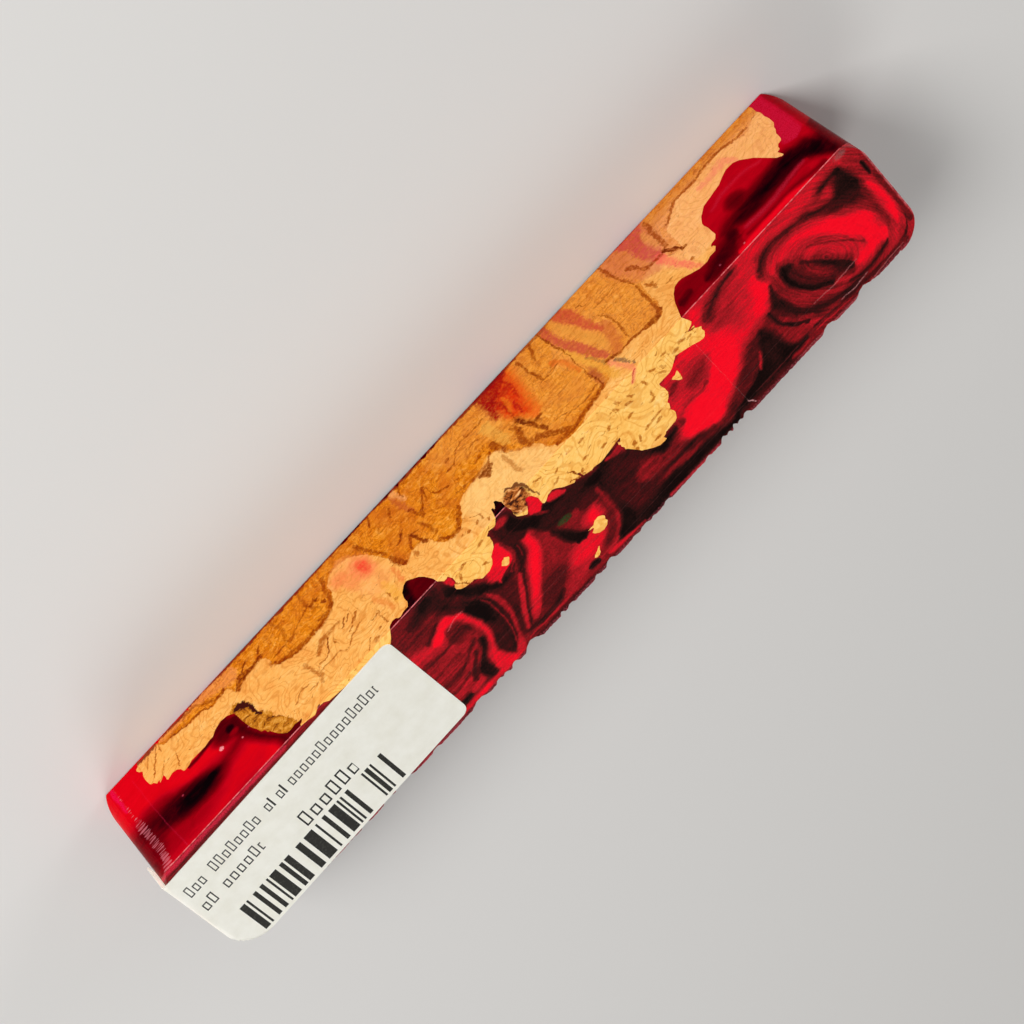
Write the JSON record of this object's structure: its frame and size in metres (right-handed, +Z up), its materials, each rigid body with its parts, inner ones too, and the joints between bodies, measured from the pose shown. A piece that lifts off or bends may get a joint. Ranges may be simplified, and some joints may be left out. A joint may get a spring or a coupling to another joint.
{
  "type": "hybrid pen blank",
  "caption": "Squared pen turning blank of mallee burl with a ragged natural edge, cast in red and black resin, with a plain paper label folded over one end",
  "frame": {"origin": "bottom face, under the middle of the overall box, which the folded label makes 0.5 mm longer than the blank", "axes": "X along the blank with the labelled end at +X, -Y out of the polished front face, +Z up out of the sanded and labelled top face"},
  "size_m": [0.1274, 0.0194, 0.0199],
  "materials": {
    "burl_wood": "sanded and polished burl",
    "burl_chip": "sanded burl",
    "cast_resin": "red and black pearlescent casting resin, polished front, sanded top, sawn back",
    "label_paper": "matte white paper"
  },
  "bodies": {
    "root": {"burl_wood": "burl_wood", "cast_resin": "cast_resin", "price_label": "label_paper", "wood_chip_1": "burl_chip", "wood_chip_2": "burl_chip", "wood_chip_3": "burl_chip", "wood_chip_4": "burl_chip"}
  },
  "joints": []
}
